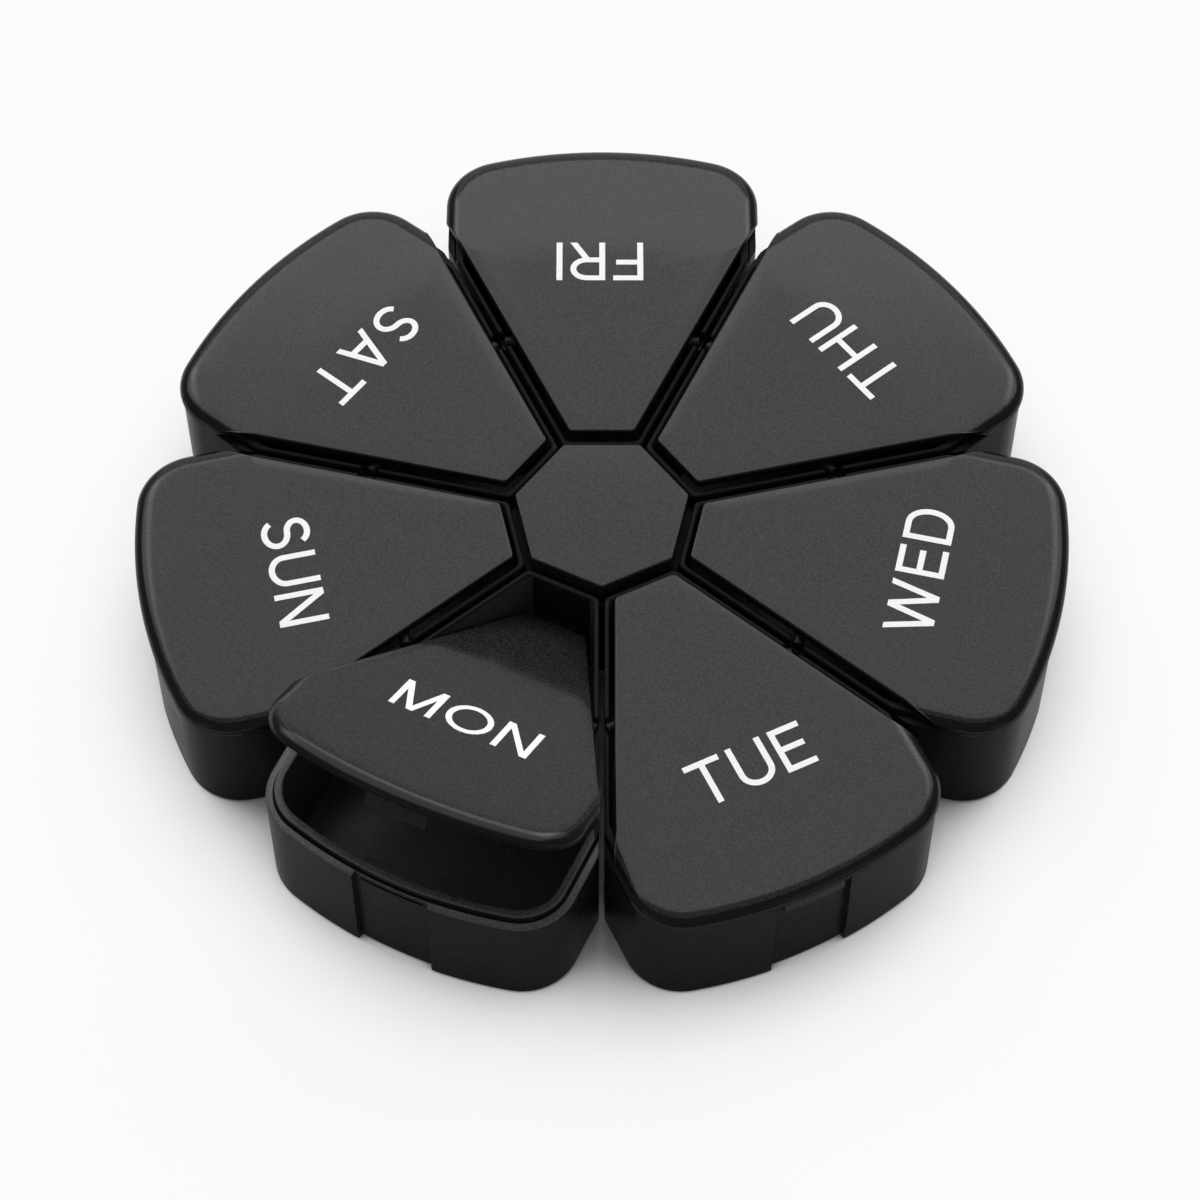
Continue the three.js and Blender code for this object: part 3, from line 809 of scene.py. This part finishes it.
def letter_strokes(letter):
    """The centre lines of a letter: square-ended runs, and slants that are cut level at both ends."""
    width = LETTER_WIDTH_SHARES[letter]
    weight = LETTER_WEIGHT_SHARE
    half = weight / 2
    left = half
    right = width - half
    middle = width / 2
    top = 1 - half
    near = half * SLANT_END_SHARE
    far = width - near
    short = width * SHORT_ARM_SHARE
    foot = width * W_FOOT_SHARE
    bar_start = width * LOW_BAR_SHARE / 2 + half
    turn = (middle, U_TURN_SHARE)
    turn_reach = (middle - half, U_TURN_SHARE - half)
    runs = {
        "A": [level(LOW_BAR_SHARE, bar_start, width - bar_start)],
        "D": [stem(left), bowl(width, half, top)],
        "E": [
            stem(left), level(top, weight, width),
            level(MIDDLE_BAR_SHARE, weight, short), level(half, weight, width),
        ],
        "F": [stem(left), level(top, weight, width), level(MIDDLE_BAR_SHARE, weight, short)],
        "H": [stem(left), stem(right), level(MIDDLE_BAR_SHARE, weight, width - weight)],
        "I": [stem(left)],
        "M": [stem(left), stem(right)],
        "N": [stem(left), stem(right)],
        "O": [bend((middle, 1 / 2), (middle - half, 1 / 2 - half), 0, 360)],
        "R": [stem(left), bowl(width, BOWL_LOW_SHARE, top)],
        "S": [s_stroke(width)],
        "T": [level(top, 0, width), [(middle, 0), (middle, 1 - weight)]],
        "U": [[(left, 1), *bend(turn, turn_reach, 180, 360), (right, 1)]],
        "W": [],
    }
    slants = {
        "A": [((near, 0), (middle, 1)), ((far, 0), (middle, 1))],
        "M": [((near, 1), (middle, 0)), ((far, 1), (middle, 0))],
        "N": [((near, 1), (far, 0))],
        "R": [((middle, BOWL_LOW_SHARE), (far, 0))],
        "W": [
            ((near, 1), (foot, 0)), ((foot, 0), (middle, 1)),
            ((middle, 1), (width - foot, 0)), ((width - foot, 0), (far, 1)),
        ],
    }
    return runs[letter], slants.get(letter, [])


def run_sides(path):
    """The two sides of a stroke along a path, mitred at its bends."""
    points = [Vector(point) for point in path]
    closed = (points[0] - points[-1]).length < LETTER_WEIGHT_SHARE / 2
    if closed:
        points.pop()
    pairs = []
    for i, point in enumerate(points):
        before = points[i - 1] if i or closed else None
        after = points[(i + 1) % len(points)] if i + 1 < len(points) or closed else None
        back = (point - before).normalized() if before else (after - point).normalized()
        ahead = (after - point).normalized() if after else back
        across = (back + ahead).normalized()
        aside = Vector((-across.y, across.x)) * (LETTER_WEIGHT_SHARE / 2 / across.dot(ahead))
        pairs.append((point + aside, point - aside))
    if closed:
        pairs.append(pairs[0])
    return pairs


def slant_sides(start, end):
    """The two sides of a slant, cut level at both ends."""
    start = Vector(start)
    end = Vector(end)
    along = end - start
    aside = Vector((LETTER_WEIGHT_SHARE / 2 * along.length / abs(along.y), 0))
    if along.y > 0:
        aside = -aside
    return [(start + aside, start - aside), (end + aside, end - aside)]


def letter_form(pairs, shift, place, lower_share):
    """A flat stroke on the lid, with its foot a little below the surface."""
    middle_out, middle_across = place
    rings = []
    for pair in pairs:
        low = []
        high = []
        for point in pair:
            across = middle_across + (point.x + shift) * LETTER_HEIGHT
            out = middle_out - (point.y - 1 / 2) * LETTER_HEIGHT
            high.append((out, across, OVERALL_HEIGHT + LETTER_RELIEF * (1 - lower_share)))
            low.append((out, across, OVERALL_HEIGHT - LETTER_SINK))
        rings.append([high[0], high[1], low[1], low[0]])
    return lofted(rings)


def letter_mesh(day):
    """A weekday's letters on a lid, with their feet towards the outer edge."""
    word = day.upper()
    widths = [LETTER_WIDTH_SHARES[letter] for letter in word]
    start = -(sum(widths) + LETTER_GAP_SHARE * (len(word) - 1)) / 2
    forms = []
    for letter, width in zip(word, widths):
        runs, slants = letter_strokes(letter)
        strokes = [run_sides(run) for run in runs] + [slant_sides(*slant) for slant in slants]
        for i, pairs in enumerate(strokes):
            forms.append(letter_form(pairs, start, LETTER_PLACES[day], STROKE_STEP_SHARE * i))
        start += width + LETTER_GAP_SHARE
    return joined("letters", *forms)


# Finishes

def moulded_plastic(
        name, colour, roughness, specular, grain, grain_depth, grain_shade_share, mottle, mottle_share):
    """Plastic with a moulded grain whose colour is painted darker in its hollows and lighter on its crests,
    as shade and light, and a gloss that varies a little.
    """
    material = bpy.data.materials.new(name)
    material.use_nodes = True
    tree = material.node_tree
    shader = tree.nodes["Principled BSDF"]
    shader.inputs["Specular IOR Level"].default_value = specular

    place = node_in(tree, "ShaderNodeTexCoord", output="Object")
    fine = node_in(tree, "ShaderNodeTexNoise", {
        "Vector": place, "Scale": 1 / grain, "Detail": GRAIN_DETAIL, "Roughness": GRAIN_ROUGHNESS_SHARE,
    }, "Fac")
    cloud = node_in(tree, "ShaderNodeTexNoise", {
        "Vector": place, "Scale": 1 / mottle, "Detail": MOTTLE_DETAIL, "Roughness": MOTTLE_ROUGHNESS_SHARE,
    }, "Fac")
    bump = node_in(tree, "ShaderNodeBump", {"Height": fine, "Strength": 1, "Distance": grain_depth})
    tree.links.new(bump, shader.inputs["Normal"])

    # painted shade in the grain's hollows and painted light on its crests
    tone = tree.nodes.new("ShaderNodeValToRGB")
    low, high = tone.color_ramp.elements
    low.position = GRAIN_LOW_SHARE
    low.color = [c * (1 - grain_shade_share) for c in colour] + [1]
    high.position = GRAIN_HIGH_SHARE
    high.color = [c * (1 + grain_shade_share) for c in colour] + [1]
    tree.links.new(fine, tone.inputs["Fac"])
    tree.links.new(tone.outputs["Color"], shader.inputs["Base Color"])

    gloss = node_in(tree, "ShaderNodeMapRange", {
        "Value": cloud, "From Min": MOTTLE_LOW_SHARE, "From Max": MOTTLE_HIGH_SHARE,
        "To Min": roughness * (1 - mottle_share), "To Max": roughness * (1 + mottle_share),
    })
    tree.links.new(gloss, shader.inputs["Roughness"])
    return material


finishes = {name: moulded_plastic(name, **look) for name, look in FINISHES.items()}


# Petals set round the hub, with Geometry Nodes

PETAL_SOCKETS = {
    "Petal Piece": "NodeSocketGeometry",
    "Petals": "NodeSocketInt",
    "Day": "NodeSocketInt",
    "First Turn": "NodeSocketFloat",
    "Tilt": "NodeSocketFloat",
    "Pivot Radius": "NodeSocketFloat",
    "Pivot Height": "NodeSocketFloat",
}


def petal_tree(name, *finish_names):
    """Tilts a piece about its rod, sets it at its day's place round the hub and gives it its finishes."""
    tree = tree_with(name, PETAL_SOCKETS)
    given = tree.nodes.new("NodeGroupInput").outputs

    pivot = node_in(tree, "ShaderNodeCombineXYZ", {"X": given["Pivot Radius"], "Z": given["Pivot Height"]})
    to_rod = node_in(tree, "ShaderNodeVectorMath", {0: pivot, "Scale": -1}, operation="SCALE")
    lean = node_in(tree, "ShaderNodeCombineXYZ", {"Y": given["Tilt"]})
    at_rod = node_in(tree, "GeometryNodeTransform", {
        "Geometry": given["Petal Piece"], "Translation": to_rod,
    })
    tilted = node_in(tree, "GeometryNodeTransform", {
        "Geometry": at_rod, "Translation": pivot, "Rotation": lean,
    })

    index = node_in(tree, "GeometryNodeInputIndex")
    step = node_in(tree, "ShaderNodeMath", {0: 2 * math.pi, 1: given["Petals"]}, operation="DIVIDE")
    turn = node_in(
        tree, "ShaderNodeMath", {0: index, 1: step, 2: given["First Turn"]}, operation="MULTIPLY_ADD")
    heading = node_in(tree, "ShaderNodeCombineXYZ", {"Z": turn})
    places = node_in(tree, "GeometryNodePoints", {"Count": given["Petals"]})
    chosen = node_in(
        tree, "FunctionNodeCompare", {2: index, 3: given["Day"]}, data_type="INT", operation="EQUAL")
    placed = node_in(tree, "GeometryNodeInstanceOnPoints", {
        "Points": places, "Selection": chosen, "Instance": tilted, "Rotation": heading,
    })

    dressed = node_in(tree, "GeometryNodeRealizeInstances", {"Geometry": placed})
    finish = node_in(tree, "GeometryNodeInputNamedAttribute", {"Name": "finish"}, data_type="INT")
    for number, finish_name in enumerate(finish_names):
        faces = node_in(
            tree, "FunctionNodeCompare", {2: finish, 3: number}, data_type="INT", operation="GREATER_EQUAL")
        dressed = node_in(tree, "GeometryNodeSetMaterial", {
            "Geometry": dressed, "Selection": faces, "Material": finishes[finish_name],
        })
    tree.links.new(dressed, tree.nodes.new("NodeGroupOutput").inputs["Result"])
    return tree


def placed_mesh(mesh, tree, day, tilt=0.0):
    """A plain mesh of a petal's piece at its day's place, tilted about its rod."""
    given = {
        "Petals": len(DAYS),
        "Day": DAYS.index(day),
        "First Turn": FIRST_TURN,
        "Tilt": tilt,
        "Pivot Radius": PIVOT_RADIUS,
        "Pivot Height": PIVOT_HEIGHT,
    }
    result = run_tree(tree, mesh, given)
    result.attributes.remove(result.attributes["finish"])
    return result


def piece(name, mesh, body, node=None):
    """Adds an object that rides on a body and may stand for a node."""
    item = bpy.data.objects.new(name, mesh)
    bpy.context.scene.collection.objects.link(item)
    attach(item, body)
    if node:
        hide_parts(node)


def marked(mesh, numbers):
    """Notes the number of each face's finish on the mesh."""
    notes = mesh.attributes.new("finish", "INT", "FACE")
    notes.data.foreach_set("value", numbers)
    return mesh


def on_ring(face, start):
    """The upper faces of the rim ring and of the shoulder round it, from this far out, which get a paler
    finish as a painted sheen.
    """
    above = face.center.z > SHOULDER_TOP - SHOULDER_FALL - SHOULDER_EDGE
    return face.center.x > start and above and face.normal.z > RING_SLOPE_SHARE


def in_pocket(face):
    """The faces of the compartment's inside, below the rounded rim, which get a paler finish as painted
    light.
    """
    inward = (POCKET_MIDDLE - face.center).to_2d().dot(face.normal.to_2d()) > 0
    floor = face.normal.z > FLOOR_SLOPE_SHARE and face.center.z < RIM_TOP / 2
    wall = inward and face.center.z < RIM_TOP - RIM_CREST
    return face.center.x > POCKET_HUB_FACE and face.center.z > 0 and (floor or wall)


def box_finishes(mesh, ring_start):
    """1 for the rim and pocket, which are painted paler as light falling on them, 0 for the rest."""
    return [int(on_ring(face, ring_start) or in_pocket(face)) for face in mesh.polygons]


def lid_finish(face):
    """0 for the top, 1 for its rounded edge, 2 for the skirt and 3 for what hangs under the lid; 1 and 2
    are darker as painted shade.
    """
    if face.normal.z > EDGE_SLOPE_SHARE:
        return 0
    if face.center.z < SKIRT_BOTTOM or face.normal.z < -SKIRT_SLOPE_SHARE:
        return 3
    return 1 if face.normal.z > SKIRT_SLOPE_SHARE else 2


def plain(mesh):
    """A mesh with one finish."""
    return marked(mesh, [0] * len(mesh.polygons))


box_tree = petal_tree("box_round_hub", "box_plastic_satin", "rim_plastic_painted_light")
rod_tree = petal_tree("rod_round_hub", "rod_plastic_satin")
cover_tree = petal_tree(
    "cover_round_hub", "lid_plastic_grained", "edge_plastic_painted_shade", "skirt_plastic_painted_shade",
    "side_plastic_satin")
letter_tree = petal_tree("letters_round_hub", "white_ink")

compartment = compartment_mesh()
lid = lid_mesh()
marked(lid, [lid_finish(face) for face in lid.polygons])
rod = plain(rod_mesh())
for day in DAYS:
    is_open = day == OPEN_DAY
    tilt = -OPEN_ANGLE if is_open else 0.0
    box = compartment.copy()
    # the open petal's rim is painted lighter from further in than a closed petal's, where the lid shades it
    marked(box, box_finishes(box, CORNER_X - CORNER_RADIUS if is_open else CORNER_X))
    piece(f"{day}_box", placed_mesh(box, box_tree, day), "base", f"compartment_{day}")
    piece(f"{day}_rod", placed_mesh(rod, rod_tree, day), "base", f"pivot_rod_{day}")
    cover = placed_mesh(lid, cover_tree, day, tilt)
    piece(f"{day}_cover", cover, f"lid_{day}", f"lid_{day}")
    letters = placed_mesh(plain(letter_mesh(day)), letter_tree, day, tilt)
    piece(f"{day}_letters", letters, f"lid_{day}")
cap = cap_mesh()
cap.materials.append(finishes["lid_plastic_grained"])
piece("hub_cover", cap, "base", "hub_cap")

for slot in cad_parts["hub_core"].material_slots:
    slot.material = finishes["box_plastic_satin"]


# Studio

def softbox(name, azimuth, elevation, distance, width, height, radiance):
    """A rectangular light that faces the origin, and that the camera doesn't see."""
    light = bpy.data.lights.new(name, "AREA")
    light.shape = "RECTANGLE"
    light.size = width
    light.size_y = height
    light.energy = radiance * math.pi * width * height
    item = bpy.data.objects.new(name, light)
    item.visible_camera = False
    bpy.context.scene.collection.objects.link(item)
    aside = math.radians(azimuth)
    up = math.radians(elevation)
    direction = Vector((math.sin(aside) * math.cos(up), math.cos(aside) * math.cos(up), math.sin(up)))
    item.location = direction * distance
    item.rotation_euler = (-item.location).to_track_quat("-Z", "Y").to_euler()


def camera():
    data = bpy.data.cameras.new("camera")
    data.sensor_width = SENSOR_WIDTH
    data.lens = CAMERA_LENS
    item = bpy.data.objects.new("camera", data)
    bpy.context.scene.collection.objects.link(item)
    item.location = CAMERA_PLACE
    item.rotation_euler = (math.radians(CAMERA_TILT), 0, math.radians(CAMERA_TURN))
    bpy.context.scene.camera = item


def floor_white():
    """White that shows the object's shadow, and is partly its own where the camera sees it in the open. Its
    own white fades near walls and in the slits between petals, which paints shade there.
    """
    material = bpy.data.materials.new("floor_white")
    material.use_nodes = True
    tree = material.node_tree
    tree.nodes.clear()
    matt = node_in(tree, "ShaderNodeBsdfDiffuse", {"Color": FLOOR_COLOUR})
    white = node_in(tree, "ShaderNodeEmission", {"Color": FLOOR_COLOUR, "Strength": 1})
    # painted shade: the floor's own white fades where walls are near
    openness = node_in(tree, "ShaderNodeAmbientOcclusion", {"Distance": FLOOR_CONTACT_REACH}, "AO")
    outside_slits = node_in(tree, "ShaderNodeMapRange", {
        "Value": openness, "From Min": SLIT_SHARE, "From Max": WALL_FOOT_SHARE,
    })
    seen = node_in(tree, "ShaderNodeLightPath", output="Is Camera Ray")
    share = node_in(tree, "ShaderNodeMath", {0: seen, 1: outside_slits}, operation="MULTIPLY")
    part = node_in(tree, "ShaderNodeMath", {0: share, 1: FLOOR_WHITE_SHARE}, operation="MULTIPLY")
    blend = node_in(tree, "ShaderNodeMixShader", {"Fac": part, 1: matt, 2: white})
    tree.links.new(blend, tree.nodes.new("ShaderNodeOutputMaterial").inputs["Surface"])
    return material


def floor():
    half = FLOOR_HALF_WIDTH
    corners = [(-half, -half, 0), (half, -half, 0), (half, half, 0), (-half, half, 0)]
    mesh = bpy.data.meshes.new("floor")
    mesh.from_pydata(corners, [], [(0, 1, 2, 3)])
    mesh.materials.append(floor_white())
    item = bpy.data.objects.new("floor", mesh)
    bpy.context.scene.collection.objects.link(item)


def surroundings():
    world = bpy.data.worlds.new("surroundings")
    bpy.context.scene.world = world
    world.use_nodes = True
    background = world.node_tree.nodes["Background"]
    background.inputs["Color"].default_value = SURROUNDINGS_COLOUR
    background.inputs["Strength"].default_value = SURROUNDINGS_STRENGTH


camera()
floor()
surroundings()
for name, setting in SOFTBOXES.items():
    softbox(name, **setting)
bpy.context.scene.view_settings.view_transform = "Standard"
